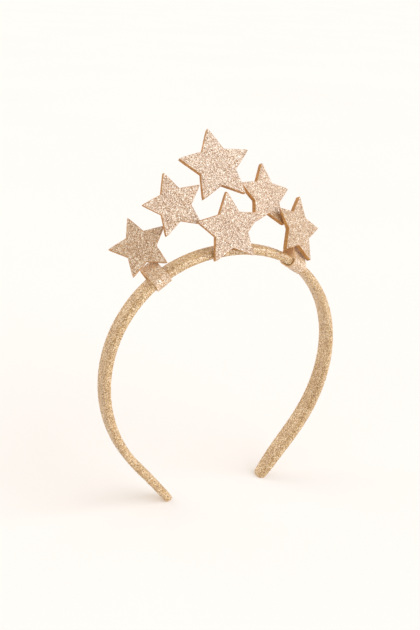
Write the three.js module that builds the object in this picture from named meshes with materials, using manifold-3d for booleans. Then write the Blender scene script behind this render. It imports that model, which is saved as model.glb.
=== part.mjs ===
// Star party crown: a glitter-covered headband that carries six thick felt stars.
// Millimetres, +Z up. The front faces -Y. The band stands on its two ends at Z = 0.

import * as THREE from 'three';
import { mergeVertices } from 'three/addons/utils/BufferGeometryUtils.js';
import Module from 'manifold-3d';

const wasm = await Module();
wasm.setup();

// Headband: a padded strip bent in the XZ plane
const BAND_HALF_LENGTH = 185.8;
const BAND_WIDTH = 9.0;
const BAND_END_WIDTH = 11.4;
const END_TAPER = 32.0;
const END_NARROW = 0.45;
const BAND_THICK = 4.4;
const BAND_EDGE_ROUND = 1.9;
const FOOT_FLAT = 0.9;
const BAND_STEPS = 44;
const EDGE_STEPS = 3;
const ROUND_STEPS = 5;

// The whole crown leans forward by a degree, so that its weight is over its two ends
const STAND_LEAN = 1.0;

// How sharply the strip bends, from the middle of its top to one end
const BAND_BEND = [
  { along: 0.0, degreesPerMm: 0.67 },
  { along: 0.2, degreesPerMm: 0.97 },
  { along: 0.4, degreesPerMm: 0.92 },
  { along: 0.6, degreesPerMm: 0.79 },
  { along: 0.8, degreesPerMm: 0.65 },
  { along: 0.9, degreesPerMm: -0.21 },
  { along: 1.0, degreesPerMm: 0.05 },
];

// Stars: die-cut from thick felt, with the tips a little blunt
const STAR_POINTS = 5;
const STAR_THICK = 2.4;
const STAR_NOTCH = 0.505;
const TIP_BLUNT = 0.06;
const PRESSED_TIP = 0.5;

// Place of each star's middle, and how it is turned: yaw to one side, lean
// backwards, and spin clockwise in its own plane, in degrees. A pressed arm is
// counted clockwise from the top tip
const STARS = [
  { name: 'star_left', radius: 15.6, x: -45.0, y: 7.1, z: 141.8, yaw: -28.0, lean: 28.0, spin: -26.3 },
  { name: 'star_mid_left', radius: 16.4, x: -27.9, y: 6.4, z: 161.4, yaw: -8.9, lean: 19.8, spin: -16.7 },
  { name: 'star_top', radius: 20.0, x: -2.7, y: 12.5, z: 177.2, yaw: -5.8, lean: 33.0, spin: -5.0 },
  { name: 'star_centre', radius: 18.6, x: -1.5, y: -3.0, z: 149.7, yaw: -2.6, lean: 16.7, spin: -3.1 },
  { name: 'star_mid_right', radius: 18.0, x: 24.2, y: 8.3, z: 161.0, yaw: 17.6, lean: 29.1, spin: 13.9 },
  { name: 'star_right', radius: 18.3, x: 41.6, y: 2.2, z: 144.2, yaw: 26.0, lean: 24.4, spin: 30, pressed: 4 },
];

// Tabs: narrow strips looped round the band and glued behind the two outer stars
const TAB_WIDTH = 8.6;
const TAB_THICK = 0.9;
const TAB_CLEAR = 0.5;
const TABS = [
  { name: 'tab_left', side: -1, fromTop: 40.2, lean: 60, rise: 8 },
  { name: 'tab_right', side: 1, fromTop: 41.5, lean: 54, rise: 11 },
];

// Colours
const GLITTER_FELT = { color: '#d6b596', roughness: 0.55, metalness: 0.25 };
const GLITTER_CLOTH = { color: '#cfab7e', roughness: 0.5, metalness: 0.3 };

const radians = THREE.MathUtils.degToRad;

function bendAt(along) {
  const next = BAND_BEND.findIndex((row) => row.along >= along);
  const b = BAND_BEND[Math.max(next, 1)];
  const a = BAND_BEND[Math.max(next, 1) - 1];
  const share = (along - a.along) / (b.along - a.along);
  return THREE.MathUtils.lerp(a.degreesPerMm, b.degreesPerMm, share);
}

// Middle line of the right half of the band, from its top to its end: each point
// with the angle that the strip has turned there. The round end dips a little
// below the floor, where it is cut flat
function bandLine() {
  const step = BAND_HALF_LENGTH / BAND_STEPS;
  const line = [{ x: 0, z: 0, turn: 0 }];
  for (let i = 1; i <= BAND_STEPS; i += 1) {
    const last = line[i - 1];
    const bend = radians(bendAt((i - 0.5) / BAND_STEPS));
    const middle = last.turn + bend * step / 2;
    const x = last.x + Math.cos(middle) * step;
    const z = last.z - Math.sin(middle) * step;
    line.push({ x, z, turn: last.turn + bend * step });
  }
  const lift = BAND_THICK / 2 - FOOT_FLAT - line[BAND_STEPS].z;
  return line.map((p) => ({ ...p, z: p.z + lift }));
}

const LINE = bandLine();

// Point at a distance from the top, measured along the band's middle line
function alongBand(distance) {
  const at = distance / BAND_HALF_LENGTH * BAND_STEPS;
  const i = Math.floor(at);
  const a = LINE[i];
  const b = LINE[i + 1];
  const mix = (key) => THREE.MathUtils.lerp(a[key], b[key], at - i);
  return { x: mix('x'), z: mix('z'), turn: mix('turn') };
}

// One long side of the strip, offset outwards from the middle line
function bandSide(offset) {
  return LINE.map((p) => new THREE.Vector2(
    p.x + Math.sin(p.turn) * offset,
    p.z + Math.cos(p.turn) * offset,
  ));
}

const mirrored = (p) => new THREE.Vector2(-p.x, p.y);

// Front outline of the band: both long sides, with a round end on each arm
function bandOutline() {
  const end = LINE[BAND_STEPS];
  const half = BAND_THICK / 2;
  const outer = bandSide(half).slice(0, -1);
  const inner = bandSide(-half).slice(0, -1);
  const start = Math.PI / 2 - end.turn;
  const shape = new THREE.Shape(outer);
  const follow = (points) => points.forEach((p) => shape.lineTo(p.x, p.y));
  shape.absarc(end.x, end.z, half, start, start - Math.PI, true);
  follow([...inner].reverse());
  follow(inner.slice(1).map(mirrored));
  shape.absarc(-end.x, end.z, half, -start, -start - Math.PI, true);
  follow(outer.slice(1).reverse().map(mirrored));
  return shape;
}

// Closed solid with shared corners, so that every edge joins two faces
function welded(geometry) {
  geometry.deleteAttribute('normal');
  geometry.deleteAttribute('uv');
  const solid = mergeVertices(geometry);
  solid.computeVertexNormals();
  return solid;
}

function solidOf(geometry) {
  const body = welded(geometry);
  return new wasm.Manifold(new wasm.Mesh({
    numProp: 3,
    vertProperties: body.attributes.position.array,
    triVerts: body.index.array,
  }));
}

function geometryOf(solid) {
  const mesh = solid.getMesh();
  const geometry = new THREE.BufferGeometry();
  geometry.setAttribute('position', new THREE.BufferAttribute(mesh.vertProperties, mesh.numProp));
  geometry.setIndex(new THREE.BufferAttribute(mesh.triVerts, 1));
  return geometry;
}

function piece(name, geometry, finish) {
  const mesh = new THREE.Mesh(welded(geometry), new THREE.MeshStandardMaterial(finish));
  mesh.name = name;
  return mesh;
}

// The strip widens a little from the top down and tapers to round tips in the last
// stretch before its ends
function shapeWidth(geometry) {
  const end = LINE[BAND_STEPS];
  const place = geometry.attributes.position;
  for (let i = 0; i < place.count; i += 1) {
    const down = 1 - place.getY(i) / LINE[0].z;
    const inwards = (Math.abs(place.getX(i)) - end.x) * Math.cos(end.turn);
    const past = inwards - (place.getY(i) - end.z) * Math.sin(end.turn);
    const fromTip = THREE.MathUtils.clamp((BAND_THICK / 2 - past) / END_TAPER, 0, 1);
    const open = Math.sqrt(1 - (1 - fromTip) ** 2);
    const narrow = THREE.MathUtils.lerp(END_NARROW, 1, open);
    const width = THREE.MathUtils.lerp(BAND_WIDTH, BAND_END_WIDTH, down) * narrow;
    place.setZ(i, place.getZ(i) * width / BAND_WIDTH);
  }
}

function makeBand() {
  const flat = BAND_WIDTH - 2 * BAND_EDGE_ROUND;
  const geometry = new THREE.ExtrudeGeometry(bandOutline(), {
    depth: flat,
    curveSegments: ROUND_STEPS,
    bevelSegments: EDGE_STEPS,
    bevelSize: BAND_EDGE_ROUND,
    bevelThickness: BAND_EDGE_ROUND,
    bevelOffset: -BAND_EDGE_ROUND,
  });
  geometry.translate(0, 0, -flat / 2);
  shapeWidth(geometry);
  const lean = radians(STAND_LEAN);
  const floorUp = [0, Math.cos(lean), -Math.sin(lean)];
  const standing = solidOf(geometry).trimByPlane(floorUp, 0);
  const band = piece('band', geometryOf(standing), GLITTER_CLOTH);
  band.rotation.x = Math.PI / 2;
  return band;
}

// Five-pointed outline with blunt tips, first tip up
function starOutline(radius) {
  const corner = (k) => {
    const angle = Math.PI / 2 - k * Math.PI / STAR_POINTS;
    const reach = k % 2 === 0 ? radius : radius * STAR_NOTCH;
    return new THREE.Vector2(Math.cos(angle) * reach, Math.sin(angle) * reach);
  };
  const shape = new THREE.Shape();
  for (let k = 0; k < 2 * STAR_POINTS; k += 2) {
    const tip = corner(k);
    const notch = corner(k + 1);
    const before = tip.clone().lerp(corner(k - 1), TIP_BLUNT);
    const after = tip.clone().lerp(notch, TIP_BLUNT);
    if (k === 0) shape.moveTo(before.x, before.y);
    else shape.lineTo(before.x, before.y);
    shape.quadraticCurveTo(tip.x, tip.y, after.x, after.y);
    shape.lineTo(notch.x, notch.y);
  }
  return shape;
}

// An arm that is glued over a neighbour: its back slopes up from the two notches,
// so that the felt is pressed thin at the tip
function pressArm(geometry, row) {
  const angle = Math.PI / 2 - row.pressed * 2 * Math.PI / STAR_POINTS;
  const outwards = new THREE.Vector3(Math.cos(angle), Math.sin(angle), 0);
  const root = row.radius * STAR_NOTCH * Math.cos(Math.PI / STAR_POINTS);
  const slope = (STAR_THICK - PRESSED_TIP) / (row.radius - root);
  const normal = new THREE.Vector3(0, 0, 1).addScaledVector(outwards, -slope).normalize();
  const start = outwards.clone().multiplyScalar(root).setZ(-STAR_THICK / 2);
  return geometryOf(solidOf(geometry).trimByPlane(normal.toArray(), normal.dot(start)));
}

function makeStar(row) {
  const geometry = new THREE.ExtrudeGeometry(starOutline(row.radius), {
    depth: STAR_THICK,
    curveSegments: EDGE_STEPS,
    bevelEnabled: false,
  });
  geometry.translate(0, 0, -STAR_THICK / 2);
  const felt = row.pressed === undefined ? geometry : pressArm(geometry, row);
  const star = piece(row.name, felt, GLITTER_FELT);
  star.rotation.z = -radians(row.spin);
  const place = new THREE.Group();
  place.position.set(row.x, row.y, row.z);
  place.rotation.set(Math.PI / 2 - radians(row.lean), 0, radians(row.yaw), 'ZXY');
  place.add(star);
  return place;
}

// Outline of a strip pulled tight round four pins: across is front to back, and
// up is away from the middle of the band
function tightLoop(pins, radius, OutlineType) {
  const outline = new OutlineType();
  pins.forEach((pin, i) => {
    const before = pins[(i + pins.length - 1) % pins.length];
    const after = pins[(i + 1) % pins.length];
    const start = Math.atan2(pin.y - before.y, pin.x - before.x) - Math.PI / 2;
    const end = Math.atan2(after.y - pin.y, after.x - pin.x) - Math.PI / 2;
    outline.absarc(pin.x, pin.y, radius, start, end, false);
  });
  outline.closePath();
  return outline;
}

function makeTab(row) {
  const at = alongBand(row.fromTop);
  const halfWidth = BAND_WIDTH / 2 - BAND_EDGE_ROUND;
  const halfThick = BAND_THICK / 2 - BAND_EDGE_ROUND;
  const lean = radians(row.lean);
  const front = new THREE.Vector2(-halfWidth, halfThick);
  const slope = new THREE.Vector2(Math.sin(lean), Math.cos(lean));
  const top = front.clone().addScaledVector(slope, row.rise);
  const pins = [
    new THREE.Vector2(-halfWidth, -halfThick),
    new THREE.Vector2(halfWidth, -halfThick),
    top,
    front,
  ];
  const inside = BAND_EDGE_ROUND + TAB_CLEAR;
  const loop = tightLoop(pins, inside + TAB_THICK, THREE.Shape);
  loop.holes.push(tightLoop(pins, inside, THREE.Path));
  const geometry = new THREE.ExtrudeGeometry(loop, {
    depth: TAB_WIDTH,
    curveSegments: ROUND_STEPS,
    bevelEnabled: false,
  });
  geometry.translate(0, 0, -TAB_WIDTH / 2);
  const tab = piece(row.name, geometry, GLITTER_CLOTH);
  // The loop's own axis lies along the band, and its up points away from the band
  const alongAxis = new THREE.Vector3(Math.cos(at.turn), 0, -row.side * Math.sin(at.turn));
  const across = new THREE.Vector3(0, 1, 0);
  const up = new THREE.Vector3().crossVectors(alongAxis, across);
  tab.matrix.makeBasis(across, up, alongAxis);
  tab.setRotationFromMatrix(tab.matrix);
  tab.position.set(row.side * at.x, 0, at.z);
  return tab;
}

const crown = new THREE.Group();
crown.add(makeBand());
STARS.forEach((row) => crown.add(makeStar(row)));
TABS.forEach((row) => crown.add(makeTab(row)));
crown.rotation.x = radians(STAND_LEAN);

// The origin lies on the floor, under the middle of the whole crown's depth
const middle = new THREE.Box3().setFromObject(crown, true).getCenter(new THREE.Vector3());
crown.position.y = -middle.y;

export default crown;
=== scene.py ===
# %% [markdown]
# # A star party crown
# The crown is a padded headband wrapped in gold glitter cloth. It carries six
# stars cut from thick felt, with champagne glitter glued on their faces. The
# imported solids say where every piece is. This lesson makes the surfaces that
# the eye reads: thousands of tilted flakes, and plain felt along the cut edges.

import bpy
import numpy as np
from mathutils import Matrix, Vector


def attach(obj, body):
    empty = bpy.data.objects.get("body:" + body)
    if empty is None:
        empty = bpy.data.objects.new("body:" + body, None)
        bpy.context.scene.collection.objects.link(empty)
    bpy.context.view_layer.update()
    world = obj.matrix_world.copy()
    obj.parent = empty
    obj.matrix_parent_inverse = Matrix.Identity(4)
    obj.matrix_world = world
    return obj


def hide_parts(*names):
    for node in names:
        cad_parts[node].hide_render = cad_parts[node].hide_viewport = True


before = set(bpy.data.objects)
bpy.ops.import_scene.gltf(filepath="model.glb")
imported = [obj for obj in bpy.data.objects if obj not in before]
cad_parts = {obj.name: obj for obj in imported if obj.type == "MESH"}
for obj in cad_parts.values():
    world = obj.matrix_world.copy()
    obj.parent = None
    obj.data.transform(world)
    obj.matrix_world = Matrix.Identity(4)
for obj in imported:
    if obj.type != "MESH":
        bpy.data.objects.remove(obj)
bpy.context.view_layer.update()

MM = 0.001
print("nodes:", sorted(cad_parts))

# %% [markdown]
# ## Chance that stays the same
# Glitter is random, but a lesson should give the same crown each time. One
# seeded generator makes every random number, always in the same order.

# %% Random numbers
SEED = 6
chance = np.random.default_rng(SEED)


def shake(shape, most):
    """Even random numbers from -most to most."""
    return chance.uniform(-most, most, shape)


print("first draw:", shake(3, 1.0).round(3))

# %% [markdown]
# ## From arrays to a mesh
# Every surface below is a grid of four-cornered cells. Cutting each cell along
# one of its two diagonals, picked at random, leaves triangles that lie in no
# visible rows. Each triangle is one flake and keeps one random number, which
# the materials turn into its colour and its gloss.


# %% Cells, triangles and pieces
def triangles_of(cells):
    """Each cell of corners p, q, r, s becomes p-q-r and p-r-s, or q-r-s and q-s-p."""
    p, q, r, s = cells.T
    other = chance.random(len(cells)) < 0.5
    first = np.where(other, [q, r, s], [p, q, r]).T
    second = np.where(other, [q, s, p], [p, r, s]).T
    return np.concatenate([first, second])


def strip_cells(rows):
    """Cells between neighbouring rows of corner numbers, each row a closed ring."""
    ahead = np.roll(rows, -1, axis=1)
    cells = np.stack([rows[:-1], ahead[:-1], ahead[1:], rows[1:]], axis=-1)
    return cells.reshape(-1, 4)


def make_piece(name, points, groups, materials):
    """A mesh object. groups holds (triangles, material number, smooth) for each finish."""
    counts = [len(triangles) for triangles, _, _ in groups]
    corners = np.concatenate([triangles for triangles, _, _ in groups]).astype(np.int32)
    mesh = bpy.data.meshes.new(name)
    mesh.vertices.add(len(points))
    mesh.vertices.foreach_set("co", np.asarray(points, np.float32).ravel())
    mesh.loops.add(corners.size)
    mesh.loops.foreach_set("vertex_index", corners.ravel())
    mesh.polygons.add(len(corners))
    mesh.polygons.foreach_set("loop_start", np.arange(0, corners.size, 3, dtype=np.int32))
    finish = np.repeat([number for _, number, _ in groups], counts).astype(np.int32)
    mesh.polygons.foreach_set("material_index", finish)
    smooth = np.repeat([soft for _, _, soft in groups], counts)
    mesh.polygons.foreach_set("use_smooth", smooth)
    mesh.update(calc_edges=True)
    flake = mesh.attributes.new("flake", "FLOAT", "FACE")
    flake.data.foreach_set("value", chance.random(len(corners)).astype(np.float32))
    for material in materials:
        mesh.materials.append(material)
    piece = bpy.data.objects.new(name, mesh)
    bpy.context.scene.collection.objects.link(piece)
    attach(piece, "root")
    print(name, len(corners), "triangles")
    return piece


# %% [markdown]
# ## Colours and nodes
# Colours are written as hex values, as a paint chart has them, and one function
# turns them into the linear numbers that the renderer adds up. A second small
# function adds a shader node, sets what is fixed and links what is not.


# %% Colour and node helpers
def linear(code):
    """sRGB hex to linear: c / 12.92 near black, else ((c + 0.055) / 1.055) to the power 2.4."""
    c = np.array([int(code[i : i + 2], 16) for i in (1, 3, 5)]) / 255
    low, high = c / 12.92, ((c + 0.055) / 1.055) ** 2.4
    return (*np.where(c <= 0.04045, low, high).tolist(), 1.0)


def add(tree, kind, sockets=None, **settings):
    """Adds a node. settings are its properties; a socket gets a value, or a link from an output."""
    made = tree.nodes.new(kind)
    for name, value in settings.items():
        setattr(made, name, value)
    for name, value in (sockets or {}).items():
        if isinstance(value, bpy.types.NodeSocket):
            tree.links.new(value, made.inputs[name])
        else:
            made.inputs[name].default_value = value
    return made


def new_material(name):
    """An empty material with its output node."""
    material = bpy.data.materials.new(name)
    material.use_nodes = True
    material.node_tree.nodes.clear()
    return material, material.node_tree, add(material.node_tree, "ShaderNodeOutputMaterial")


def ramp(tree, value, stops):
    """A colour ramp through (place, hex) stops."""
    made = add(tree, "ShaderNodeValToRGB", {"Fac": value})
    points = made.color_ramp.elements
    while len(points) < len(stops):
        points.new(1.0)
    for point, (place, code) in zip(points, stops):
        point.position = place
        point.color = linear(code)
    return made.outputs["Color"]


print("champagne in linear:", np.round(linear("#DDBFA4")[:3], 3))

# %% [markdown]
# ## Glitter
# Glitter is polyester film under a tinted lacquer, cut into flakes and scattered
# on glue. A flake shows two things: the tint of its lacquer, and a white mirror
# image of the lamps on its smooth top. Metal would tint that image too, so the
# flakes are a plain film with a high index of refraction, which mirrors white.
# The paler glitter of the stars mirrors more than the cloth of the headband.
# Flakes under glue mirror little and have a darker, browner colour, partly the
# glue and partly a painted shade of flakes that lie askew. Clean ones mirror
# most, and the few with the highest numbers get an almost white colour, a painted
# glint on top of their mirror image of the lamps. The face's own random number
# says which kind a flake is. Real fine glitter is about 0.2 mm across.
# The flakes here are 0.4 mm, because smaller ones are too fine to show in a
# picture of this size.

# %% Glitter materials
FLAKE = 0.4 * MM
CLOUD = 9 * MM  # patches where the glue took a little more or less glitter
CLOUD_LIFT = 0.06
DULLEST, GLOSSIEST = 0.5, 0.3  # roughness
GLUED_IOR = 1.6
STAR_FILM_IOR = 3.2
BAND_FILM_IOR = 2.7


def glitter(name, film_ior, stops):
    """Glossy tinted flakes: the flake's number sets its colour, roughness and index of refraction.

    Slow cloudy patches shift the colour."""
    material, tree, out = new_material(name)
    flake = add(tree, "ShaderNodeAttribute", attribute_name="flake").outputs["Fac"]
    place = add(tree, "ShaderNodeTexCoord").outputs["Object"]
    cloud = add(tree, "ShaderNodeTexNoise", {"Vector": place, "Scale": 1 / CLOUD, "Detail": 3.0})
    lift = add(
        tree,
        "ShaderNodeMapRange",
        {
            "Value": cloud.outputs["Fac"],
            "From Min": 0.3,
            "From Max": 0.7,
            "To Min": -CLOUD_LIFT,
            "To Max": CLOUD_LIFT,
        },
    )
    number = add(tree, "ShaderNodeMath", {0: flake, 1: lift.outputs["Result"]}, operation="ADD")
    gloss = add(
        tree,
        "ShaderNodeMapRange",
        {"Value": flake, "To Min": DULLEST, "To Max": GLOSSIEST},
    )
    mirror = add(
        tree,
        "ShaderNodeMapRange",
        {"Value": flake, "To Min": GLUED_IOR, "To Max": film_ior},
    )
    shader = add(
        tree,
        "ShaderNodeBsdfPrincipled",
        {
            "Base Color": ramp(tree, number.outputs[0], stops),
            "Roughness": gloss.outputs["Result"],
            "IOR": mirror.outputs["Result"],
        },
    )
    tree.links.new(shader.outputs["BSDF"], out.inputs["Surface"])
    return material


# In each ramp the lowest stops are partly painted shade, and the top stop is a painted glint.
star_glitter = glitter(
    "champagne_glitter",
    STAR_FILM_IOR,
    [(0.0, "#68421A"), (0.25, "#9B6B36"), (0.6, "#BB905E"), (0.85, "#D7BA90"), (1.0, "#F9EFDC")],
)
band_glitter = glitter(
    "gold_glitter",
    BAND_FILM_IOR,
    [(0.0, "#6A4620"), (0.25, "#A67A40"), (0.6, "#C99F60"), (0.85, "#E5C68F"), (1.0, "#FFEFD0")],
)
# The tabs' glitter is the star glitter painted lighter, to make up for the shade the stars cast on the
# tabs.
tab_glitter_painted_lighter = glitter(
    "tab_glitter_lit_copy",
    STAR_FILM_IOR,
    [(0.0, "#7A5430"), (0.25, "#B68B5C"), (0.6, "#D3AC7E"), (0.85, "#EBD1AE"), (1.0, "#FFF5E6")],
)
print("materials:", star_glitter.name, band_glitter.name, tab_glitter_painted_lighter.name)

# %% [markdown]
# ## Felt
# Felt is wool or polyester fibre matted into a thick sheet. It has no gloss at
# all, a soft bright rim from its loose fibres, a mottle as wide as a clump of
# fibres and slow patches where the dye took more or less. The cut edge of a
# star and its back show the dyed felt under the glitter: caramel. The strips of
# the tabs have a lighter backing of the same kind.

# %% Felt materials
CLUMP = 0.9 * MM
DYE_PATCH = 5 * MM
DYE_SHARE = 0.4


def felt(name, dark, light):
    """Matted fibre: two tones by noise as wide as a clump, mixed with wider noise, and sheen.

    The fine noise alone is the bump."""
    material, tree, out = new_material(name)
    place = add(tree, "ShaderNodeTexCoord").outputs["Object"]
    fibre = add(tree, "ShaderNodeTexNoise", {"Vector": place, "Scale": 1 / CLUMP, "Detail": 5.0})
    dye = add(tree, "ShaderNodeTexNoise", {"Vector": place, "Scale": 1 / DYE_PATCH, "Detail": 2.0})
    tone = add(
        tree,
        "ShaderNodeMix",
        {"Factor": DYE_SHARE, "A": fibre.outputs["Fac"], "B": dye.outputs["Fac"]},
    )
    bump = add(
        tree,
        "ShaderNodeBump",
        {"Height": fibre.outputs["Fac"], "Strength": 0.6, "Distance": 0.12 * MM},
    )
    shader = add(
        tree,
        "ShaderNodeBsdfPrincipled",
        {
            "Base Color": ramp(tree, tone.outputs["Result"], [(0.36, dark), (0.64, light)]),
            "Roughness": 0.95,
            "Specular IOR Level": 0.2,
            "Sheen Weight": 0.25,
            "Sheen Roughness": 0.5,
            "Normal": bump.outputs["Normal"],
        },
    )
    tree.links.new(shader.outputs["BSDF"], out.inputs["Surface"])
    return material


edge_felt = felt("caramel_felt", "#A0703A", "#D49E60")
tab_felt = felt("tan_backing", "#D8B284", "#F0CFA6")
print("materials:", edge_felt.name, tab_felt.name)

# %% [markdown]
# ## Stars: where each one is
# The solids already say where the stars are, so nothing is typed in again. The
# largest facet that looks forward shows the way the face points, and the mean
# of the face's corners is its middle. The tips follow from symmetry: the fifth
# harmonic of the corners' angles has its peaks there. An arm that is glued over
# a neighbour is pressed thin, and its lowest corner says how steeply.

# %% Read a star's place off its solid
STAR_POINTS = 5
NOTCH = 0.505  # radius of the notches, as a share of the tips' radius
ARM_TURN = 2 * np.pi / STAR_POINTS
ROOT = NOTCH * np.cos(ARM_TURN / 2)  # where an arm begins, along its own middle line
ARM_ANGLES = np.arange(STAR_POINTS) * ARM_TURN
ARM_WAYS = np.stack([np.sin(ARM_ANGLES), np.cos(ARM_ANGLES)], axis=1)
SAME_LEVEL = 0.01 * MM
ARM_END = 0.9  # corners farther out than this share of the radius are at a tip
TIP_WEIGHT = 5  # power of the reach, which makes the tips outweigh the notches


def corners_of(node):
    """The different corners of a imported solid, in metres."""
    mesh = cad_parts[node].data
    places = np.empty(len(mesh.vertices) * 3, np.float32)
    mesh.vertices.foreach_get("co", places)
    return np.unique(places.reshape(-1, 3).round(6), axis=0).astype(float)


def face_way(node):
    """Unit normal of the solid's largest facet that looks forward."""
    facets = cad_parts[node].data.polygons
    area = np.empty(len(facets), np.float32)
    normal = np.empty(len(facets) * 3, np.float32)
    facets.foreach_get("area", area)
    facets.foreach_get("normal", normal)
    normal = normal.reshape(-1, 3).astype(float)
    return normal[np.argmax(area * (normal[:, 1] < 0))]


def star_place(node):
    """Middle, radius, half thickness, axes (right, up, out of the face), slope of each arm's back."""
    corners, out = corners_of(node), face_way(node)
    level = corners @ out
    half = np.ptp(level) / 2
    face = corners[level > level.max() - SAME_LEVEL]
    middle = face.mean(axis=0) - out * half
    right = np.cross((0, 0, 1), out)
    right /= np.linalg.norm(right)
    up = np.cross(out, right)
    x, y = (face - middle) @ right, (face - middle) @ up
    reach, angle = np.hypot(x, y), np.arctan2(x, y)
    spin = np.angle((reach**TIP_WEIGHT * np.exp(STAR_POINTS * 1j * angle)).sum()) / STAR_POINTS
    up, right = up * np.cos(spin) + right * np.sin(spin), right * np.cos(spin) - up * np.sin(spin)
    radius = reach.min() / NOTCH
    spread = corners - middle
    along = spread @ np.array((right, up)).T @ ARM_WAYS.T
    low = np.where(along > ARM_END * radius, (spread @ out)[:, None], half)
    lowest = low.argmin(axis=0), np.arange(STAR_POINTS)
    slope = (low[lowest] + half) / (along[lowest] - ROOT * radius)
    return middle, radius, half, (right, up, out), slope


STARS = sorted(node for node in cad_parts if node.startswith("star"))
for star in STARS:
    middle, radius, _, _, slope = star_place(star)
    print(star, (middle / MM).round(1), "radius", round(radius / MM, 1), "slopes", slope.round(2))

# %% [markdown]
# ## Stars: a net of kites
# A star could be cut from a square grid, but then its outline would be jagged.
# Five kites fit it exactly: each one spans the middle, a notch, a tip and the
# next notch. Inside a kite two numbers, both from 0 to 1, give every point,
# and the cells come out nearly equal, as flakes should be.

# %% The flat net of a star
TIP_BLUNT = 0.03
TIP_REACH = 0.05


def star_net(steps):
    """Flat star of radius 1, with its cells and the corner numbers round its rim, clockwise.

    A kite's point is a * A + b * B + a * b * (T - A - B), with notches A and B and tip T."""
    turn = ARM_ANGLES + ARM_TURN / 2
    after = NOTCH * np.stack([np.sin(turn), np.cos(turn)], axis=1)
    before = np.roll(after, 1, axis=0)
    a, b = np.meshgrid(*[np.linspace(0, 1, steps + 1)] * 2, indexing="ij")
    a, b = a[None, :, :, None], b[None, :, :, None]
    tip, before, after = (p[:, None, None, :] for p in (ARM_WAYS, before, after))
    patch = a * before + b * after + a * b * (tip - before - after)
    points, number = np.unique(patch.reshape(-1, 2).round(6), axis=0, return_inverse=True)
    number = number.reshape(STAR_POINTS, steps + 1, steps + 1)
    cells = [number[:, :-1, :-1], number[:, :-1, 1:], number[:, 1:, 1:], number[:, 1:, :-1]]
    rim = np.concatenate([number[:, -1, :-1], number[:, :0:-1, -1]], axis=1).ravel()
    return blunted(points), np.stack(cells, axis=-1).reshape(-1, 4), rim


def blunted(points):
    """Draws points near a tip back along its arm by TIP_BLUNT * exp(-distance to the tip / TIP_REACH)."""
    arm = np.round(np.arctan2(points[:, 0], points[:, 1]) / ARM_TURN) * ARM_TURN
    way = np.stack([np.sin(arm), np.cos(arm)], axis=1)
    left = 1 - (points * way).sum(axis=1)
    return points - way * (TIP_BLUNT * np.exp(-left / TIP_REACH))[:, None]


net, cells, rim = star_net(4)
print("a coarse net:", len(net), "points,", len(cells), "cells,", len(rim), "on the rim")

# %% [markdown]
# ## Stars: face, edge and back
# One closed skin makes a star. The face's points are shaken sideways and in and
# out, so each triangle tilts its own way and becomes a flake. The edge is a
# short wall of felt between rounded rims, and the back is plain felt with a
# little unevenness. It rises along an arm that is pressed on a neighbour.

# %% Make the stars
ARM_EDGE = np.hypot(NOTCH * np.sin(ARM_TURN / 2), 1 - ROOT)  # from a notch to a tip
SIDE_SHAKE = 0.34  # of a flake's width
FLAKE_RELIEF = 0.073 * MM
FELT_RELIEF = 0.03 * MM
RIM_ROUND = 0.14 * MM
WALL_ROWS = 6


def make_star(node):
    """A felt star: net at half thickness in front and behind, and a wall of rows between the two rims."""
    middle, radius, half, axes, slope = star_place(node)
    steps = round((NOTCH + ARM_EDGE) / 2 * radius / FLAKE)
    flat, cells, rim = star_net(steps)
    flat = flat * radius
    pressed = np.maximum(flat @ ARM_WAYS.T - ROOT * radius, 0) @ slope
    edge = flat[rim]
    along = np.roll(edge, -1, axis=0) - np.roll(edge, 1, axis=0)
    along /= np.linalg.norm(along, axis=1, keepdims=True)
    outward = np.stack([-along[:, 1], along[:, 0]], axis=1)
    inside = np.ones(len(flat), bool)
    inside[rim] = False
    sides = []
    for relief, height in ((FLAKE_RELIEF, half), (FELT_RELIEF, pressed - half)):
        moved = flat + shake(flat.shape, SIDE_SHAKE * FLAKE) * inside[:, None]
        moved[rim] -= outward * RIM_ROUND
        sides.append(np.column_stack([moved, height + shake(len(flat), relief) * inside]))
    levels = np.linspace(half - RIM_ROUND, pressed[rim] + RIM_ROUND - half, WALL_ROWS)
    fuzz = shake((WALL_ROWS, len(rim), 1), FELT_RELIEF)
    walls = np.concatenate([edge + outward * fuzz, levels[..., None]], axis=2)
    local = np.concatenate([*sides, walls.reshape(-1, 3)])
    front, back = cells, cells[:, ::-1] + len(flat)
    wall_numbers = 2 * len(flat) + np.arange(WALL_ROWS * len(rim)).reshape(WALL_ROWS, -1)
    rows = np.concatenate([rim[None], wall_numbers, rim[None] + len(flat)])
    wall = strip_cells(rows)
    groups = [(triangles_of(front), 0, False), (triangles_of(np.concatenate([wall, back])), 1, True)]
    star = make_piece(f"felt_{node}", middle + local @ np.array(axes), groups, [star_glitter, edge_felt])
    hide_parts(node)


for star in STARS:
    make_star(star)

# %% [markdown]
# ## Headband: its line
# The strip lies in one plane, so its line is known once its bend is known at
# every place. The bend is measured in degrees for each millimetre, at seven
# places from the middle of the top to one end. Adding it up gives the
# direction, and adding up the directions gives the line. The plane leans
# forward by one degree, which brings the crown's weight over its two ends.

# %% The line of the strip
HALF_LENGTH = 185.8 * MM
THICK = 4.4 * MM
FOOT_FLAT = 0.9 * MM
LEAN = np.radians(1.0)
BEND_ALONG = [0.0, 0.2, 0.4, 0.6, 0.8, 0.9, 1.0]
BEND_DEG_PER_MM = [0.67, 0.97, 0.92, 0.79, 0.65, -0.21, 0.05]
LINE_STEPS = 2000

share = np.linspace(0, 1, LINE_STEPS + 1)
bend = np.radians(np.interp(share, BEND_ALONG, BEND_DEG_PER_MM)) / MM
step = HALF_LENGTH / LINE_STEPS


def summed(values):
    """Running sum of the means between neighbours, times the step: the trapezium rule."""
    return np.concatenate([[0], np.cumsum((values[1:] + values[:-1]) / 2 * step)])


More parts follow.
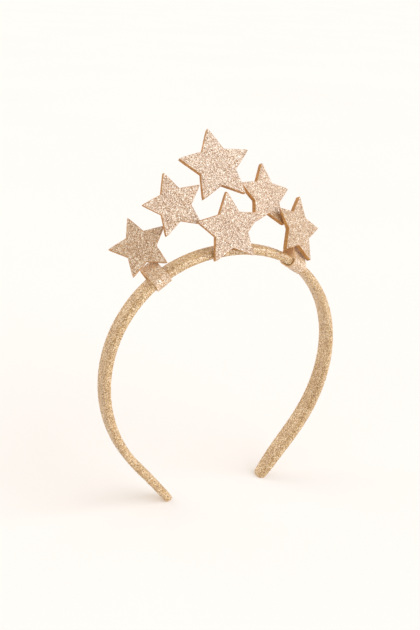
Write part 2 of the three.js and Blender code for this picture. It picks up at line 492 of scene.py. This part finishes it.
line_turn = summed(bend)
line_x = summed(np.cos(line_turn))
line_z = -summed(np.sin(line_turn))
line_z += THICK / 2 - FOOT_FLAT - line_z[-1]

ACROSS = np.array((1, 0, 0))
BACK = np.array((0, np.cos(LEAN), np.sin(LEAN)))
UP = np.array((0, -np.sin(LEAN), np.cos(LEAN)))
depths = corners_of("band") @ BACK
foot = np.array((0, (depths.min() + depths.max()) / 2 / np.cos(LEAN), 0))


def on_line(distance):
    """Middle point, direction and outward direction at signed distances from the top.

    Past an end, the line goes straight on."""
    far = np.abs(distance)
    side = np.sign(distance)
    at = np.minimum(far, HALF_LENGTH)
    x, z, turn = (np.interp(at, share * HALF_LENGTH, v) for v in (line_x, line_z, line_turn))
    past = far - at
    x, z = x + past * np.cos(turn), z - past * np.sin(turn)
    sine, cosine = (side * np.sin(turn))[..., None], np.cos(turn)[..., None]
    middle = foot + (side * x)[..., None] * ACROSS + z[..., None] * UP
    return middle, cosine * ACROSS - sine * UP, sine * ACROSS + cosine * UP


print("top of the line at", round(line_z[0] / MM, 1), "mm, ends", round(2 * line_x[-1] / MM, 1), "mm apart")

# %% [markdown]
# ## A loop pulled tight
# The section of the padded strip is a rectangle with round corners. The tabs go
# round the strip as a tight loop. Both are the same thing: a string pulled
# tight round pins, straight between them and an arc at each one.


# %% The tight loop
def tight_loop(pins, radius, place):
    """Pin point and outward angle at a place from 0 to 1 round a loop of that radius about the pins.

    The pins go anticlockwise. Between pins the point slides and the angle stays. At a pin the
    angle turns."""
    pins = np.asarray(pins, float)
    gone = np.roll(pins, -1, axis=0) - pins
    leave = np.arctan2(gone[:, 1], gone[:, 0]) - np.pi / 2
    arrive = np.roll(leave, 1)
    turn = (leave - arrive) % (2 * np.pi)
    first = arrive[0] + np.concatenate([[0], np.cumsum(turn)])
    angles = np.stack([first[:-1], first[1:]], axis=1).ravel()
    stretch = np.stack([radius * turn, np.hypot(*gone.T)], axis=1).ravel()
    so_far = np.concatenate([[0], np.cumsum(stretch)])
    knots = np.concatenate([np.repeat(pins, 2, axis=0), pins[:1]])
    angles = np.append(angles, angles[-1])
    where = (place % 1.0) * so_far[-1]
    slid = np.stack([np.interp(where, so_far, knots[:, i]) for i in (0, 1)], axis=-1)
    return slid, np.interp(where, so_far, angles), so_far[-1]


SQUARE = [(-1, -1), (1, -1), (1, 1), (-1, 1)]
print("round a unit square:", round(tight_loop(SQUARE, 0.5, np.zeros(1))[2], 3))

# %% [markdown]
# ## Headband: the padded strip
# The section is carried along the line. Its width grows a little from the top
# down and tapers over the last three centimetres. Past each end it also thins
# as a circle does, so the end is round both ways. The two numbers that place a
# point are shaken before the surface is worked out, and so is its height, which
# makes flakes here too. Where the ends rest, the padding is pressed flat.

# %% Make the headband
WIDTH_TOP = 9.0 * MM
WIDTH_END = 11.4 * MM
END_TAPER = 32.0 * MM
END_NARROW = 0.45
EDGE_ROUND = 1.9 * MM
CAP_ROWS = 7
CAP_LAST = np.radians(84)


def band_points():
    """Rows of the section along the line. Past an end, a row is thinned by the cosine of the angle."""
    body = np.linspace(-HALF_LENGTH, HALF_LENGTH, round(2 * HALF_LENGTH / FLAKE))
    cap = np.linspace(0, CAP_LAST, CAP_ROWS)[1:]
    past = THICK / 2 * np.sin(cap)
    distance = np.concatenate([-HALF_LENGTH - past[::-1], body, HALF_LENGTH + past])[:, None]
    slim = np.concatenate([np.cos(cap)[::-1], np.ones(len(body)), np.cos(cap)])[:, None]
    pins = np.array(SQUARE) * (WIDTH_TOP / 2 - EDGE_ROUND, THICK / 2 - EDGE_ROUND)
    girth = tight_loop(pins, EDGE_ROUND, np.zeros(1))[2]
    count = 2 * round(girth / FLAKE / 2)
    side_middle = (THICK / 2 - EDGE_ROUND) / girth
    place = np.arange(count)[None] / count - side_middle
    loose = np.abs(distance) < HALF_LENGTH
    place = place + loose * shake((len(distance), count), SIDE_SHAKE / count)
    distance = distance + loose * shake(place.shape, SIDE_SHAKE * FLAKE)
    height = shake(place.shape, FLAKE_RELIEF)
    slid, angle, _ = tight_loop(pins, EDGE_ROUND, place)
    middle, _, outward = on_line(distance)
    down = 1 - np.clip((middle - foot) @ UP / line_z[0], 0, 1)
    closing = 1 - np.clip((HALF_LENGTH + THICK / 2 - np.abs(distance)) / END_TAPER, 0, 1)
    narrow = END_NARROW + (1 - END_NARROW) * np.sqrt(1 - closing**2)
    widen = (1 + (WIDTH_END / WIDTH_TOP - 1) * down) * narrow
    across = (slid[..., 0] + (EDGE_ROUND * slim + height) * np.cos(angle)) * widen
    out = (slid[..., 1] + (EDGE_ROUND + height) * np.sin(angle)) * slim
    points = middle + across[..., None] * BACK + out[..., None] * outward
    points[..., 2] = np.maximum(points[..., 2], 0)
    return points


def zigzag(ring):
    """Triangles that close a flat ring: its two halves are joined by going to and fro between them."""
    count = len(ring)
    order = np.empty(count, int)
    order[0::2] = ring[-np.arange((count + 1) // 2)]
    order[1::2] = ring[1 : count // 2 + 1]
    triangles = np.stack([order[:-2], order[1:-1], order[2:]], axis=1)
    triangles[1::2] = triangles[1::2, ::-1]
    return triangles


points = band_points()
numbers = np.arange(points[..., 0].size).reshape(points.shape[:2])
skin = triangles_of(strip_cells(numbers))
caps = [zigzag(numbers[0])[:, ::-1], zigzag(numbers[-1])]
band = make_piece(
    "glitter_band", points.reshape(-1, 3), [(np.concatenate([skin, *caps]), 0, False)], [band_glitter]
)
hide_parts("band")

# %% [markdown]
# ## Tabs
# Two narrow strips of glitter cloth carry the outer stars. Each one goes round
# the headband, runs up behind its star and is glued to itself there. The same
# tight loop gives its way round, and a second one its own flat section. Glitter
# is on the outside only. The cut edges and the inside show the tan backing.

# %% Make the tabs
TAB_WIDTH = 8.6 * MM
TAB_THICK = 0.9 * MM
TAB_EDGE = 0.2 * MM
TAB_CLEAR = 0.45 * MM
OUTSIDE = 0.5  # least sine of the turn round the strip's section where glitter is
TABS = [
    {"node": "tab_left", "from_top": -40.2 * MM, "lean": 60, "rise": 8 * MM},
    {"node": "tab_right", "from_top": 41.5 * MM, "lean": 54, "rise": 11 * MM},
]


def make_tab(node, from_top, lean, rise):
    """A looped strip: one number goes round the headband, the other round the strip's own section."""
    half_wide, half_thick = WIDTH_TOP / 2 - EDGE_ROUND, THICK / 2 - EDGE_ROUND
    slope = np.array((np.sin(np.radians(lean)), np.cos(np.radians(lean))))
    front = np.array((-half_wide, half_thick))
    pins = [(-half_wide, -half_thick), (half_wide, -half_thick), front + rise * slope, front]
    radius = EDGE_ROUND + TAB_CLEAR + TAB_THICK / 2
    section = np.array(SQUARE) * (TAB_WIDTH / 2 - TAB_EDGE, TAB_THICK / 2 - TAB_EDGE)
    length = tight_loop(pins, radius, np.zeros(1))[2]
    girth = tight_loop(section, TAB_EDGE, np.zeros(1))[2]
    rows, columns = round(length / FLAKE), round(girth / FLAKE)
    flat_place = np.arange(columns)[None] / columns
    turned = tight_loop(section, TAB_EDGE, (flat_place + 0.5 / columns) % 1)[1][0]
    shiny = np.sin(turned) > OUTSIDE
    place = flat_place + shake((rows, columns), SIDE_SHAKE / columns)
    round_place = np.arange(rows)[:, None] / rows + shake((rows, columns), SIDE_SHAKE / rows)
    slid, angle, _ = tight_loop(section, TAB_EDGE, place)
    beside = slid[..., 0] + TAB_EDGE * np.cos(angle)
    proud = slid[..., 1] + TAB_EDGE * np.sin(angle) + shake(place.shape, FLAKE_RELIEF)
    slid, angle, _ = tight_loop(pins, radius, round_place)
    across = slid[..., 0] + (radius + proud) * np.cos(angle)
    up = slid[..., 1] + (radius + proud) * np.sin(angle)
    middle, along, outward = on_line(np.array(from_top))
    points = middle + beside[..., None] * along + across[..., None] * BACK + up[..., None] * outward
    numbers = np.arange(rows * columns).reshape(rows, columns)
    cells = strip_cells(np.concatenate([numbers, numbers[:1]])).reshape(rows, columns, 4)
    glittered, bare = (cells[:, which].reshape(-1, 4) for which in (shiny, ~shiny))
    groups = [(triangles_of(glittered), 0, False), (triangles_of(bare), 1, False)]
    # Its glitter is painted lighter to offset the shade under the star.
    tab = make_piece(f"looped_{node}", points.reshape(-1, 3), groups, [tab_glitter_painted_lighter, tab_felt])
    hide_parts(node)
    print(node, "strip", round(length / MM, 1), "mm long")


for row in TABS:
    make_tab(**row)

# %% [markdown]
# ## Floor and light
# The crown stands on a pale sheet under very soft light, so its shadows are only
# a warm darkening near the two ends. A bright surrounding gives most of the
# light. A wide window in front, up and to the right is what the stars mirror.
# A weaker reflector stands behind, on the left, and is what the headband mirrors
# at its left shoulder and inside its right end. Both are far away, so the floor
# is equally bright all over. The sheet also has a painted glow: it emits light
# though it is no lamp, which lights the crown from below and keeps the shadows
# faint.

# %% Floor, surrounding and lamps
FLOOR_SIZE = 24.0
SURROUND = 0.72
# strength of the floor's painted glow, an emission though the floor is no lamp
PAINTED_FLOOR_GLOW = 0.26
PAPER_CLOUD = 400 * MM
LAMPS = [
    {"name": "window", "strength": 2.2, "colour": "#F0F6FF", "wide": 65, "way": (0.52, -0.68, 0.52)},
    {"name": "reflector", "strength": 0.75, "colour": "#FFEFDC", "wide": 50, "way": (-0.45, 0.7, 0.5)},
]

mesh = bpy.data.meshes.new("floor")
reach = FLOOR_SIZE / 2
mesh.from_pydata([(x * reach, y * reach, 0) for x, y in SQUARE], [], [(0, 1, 2, 3)])
floor = bpy.data.objects.new("floor", mesh)
bpy.context.scene.collection.objects.link(floor)
paper, tree, out = new_material("pale_paper")
grain = add(
    tree,
    "ShaderNodeTexNoise",
    {"Vector": add(tree, "ShaderNodeTexCoord").outputs["Object"], "Scale": 1 / PAPER_CLOUD},
)
shader = add(
    tree,
    "ShaderNodeBsdfPrincipled",
    {
        "Base Color": ramp(tree, grain.outputs["Fac"], [(0.3, "#D5D6D8"), (0.7, "#D7D8DA")]),
        "Roughness": 0.9,
        "Specular IOR Level": 0.1,
        # Painted glow: the floor emits light, which lightens the shadows and the crown from below.
        "Emission Color": linear("#FFF0E2"),
        "Emission Strength": PAINTED_FLOOR_GLOW,
    },
)
tree.links.new(shader.outputs["BSDF"], out.inputs["Surface"])
mesh.materials.append(paper)

world = bpy.data.worlds.new("studio")
bpy.context.scene.world = world
world.use_nodes = True
tree = world.node_tree
tree.nodes.clear()
lit = add(tree, "ShaderNodeBackground", {"Color": linear("#FFF8EE"), "Strength": SURROUND})
seen = add(tree, "ShaderNodeBackground", {"Color": linear("#FEFDF9"), "Strength": 1.0})
path = add(tree, "ShaderNodeLightPath")
both = add(
    tree,
    "ShaderNodeMixShader",
    {0: path.outputs["Is Camera Ray"], 1: lit.outputs[0], 2: seen.outputs[0]},
)
add(tree, "ShaderNodeOutputWorld", {"Surface": both.outputs[0]})


def add_lamp(name, strength, colour, wide, way):
    """A far lamp of that width in degrees, which shines from the way it is given."""
    lamp = bpy.data.objects.new(name, bpy.data.lights.new(name, "SUN"))
    lamp.data.energy = strength
    lamp.data.color = linear(colour)[:3]
    lamp.data.angle = np.radians(wide)
    lamp.rotation_mode = "QUATERNION"
    lamp.rotation_quaternion = Vector(way).to_track_quat("Z", "Y")
    bpy.context.scene.collection.objects.link(lamp)
    print(name, "from", way, "strength", strength)


for row in LAMPS:
    add_lamp(**row)

# %% [markdown]
# ## Camera
# The picture was taken from the crown's front left, a little from above, with
# the camera turned by a few degrees. The lens is a normal one. It aims at a
# point in the headband's plane, 46 cm away.

# %% Place the camera
AZIMUTH = 28.81
ELEVATION = 21.08
ROLL = 2.6
AIM_ASIDE = -8.6 * MM
AIM_HIGH = 104.0 * MM
AIM = Vector(foot + AIM_ASIDE * ACROSS + AIM_HIGH * UP)
DISTANCE = 456.8 * MM
LENS = 51.43
SENSOR = 36.0

turn, rise, tilt = np.radians([AZIMUTH, ELEVATION, ROLL])
ahead = Vector((np.sin(turn) * np.cos(rise), np.cos(turn) * np.cos(rise), -np.sin(rise)))
level = Vector((np.cos(turn), -np.sin(turn), 0))
above = level.cross(ahead)
right = level * np.cos(tilt) + above * np.sin(tilt)
upward = above * np.cos(tilt) - level * np.sin(tilt)
camera = bpy.data.objects.new("camera", bpy.data.cameras.new("camera"))
camera.data.lens = LENS
camera.data.sensor_width = SENSOR
camera.data.clip_start = 0.01
camera.data.clip_end = 100.0
facing = Matrix((right, upward, -ahead)).transposed().to_4x4()
camera.matrix_world = Matrix.Translation(AIM - ahead * DISTANCE) @ facing
bpy.context.scene.collection.objects.link(camera)
bpy.context.scene.camera = camera
bpy.context.scene.view_settings.view_transform = "Standard"
print("camera at", [round(x / MM) for x in camera.matrix_world.translation])

# %% [markdown]
# ## Finish
# The view layer is brought up to date.

# %% Finish
bpy.context.view_layer.update()
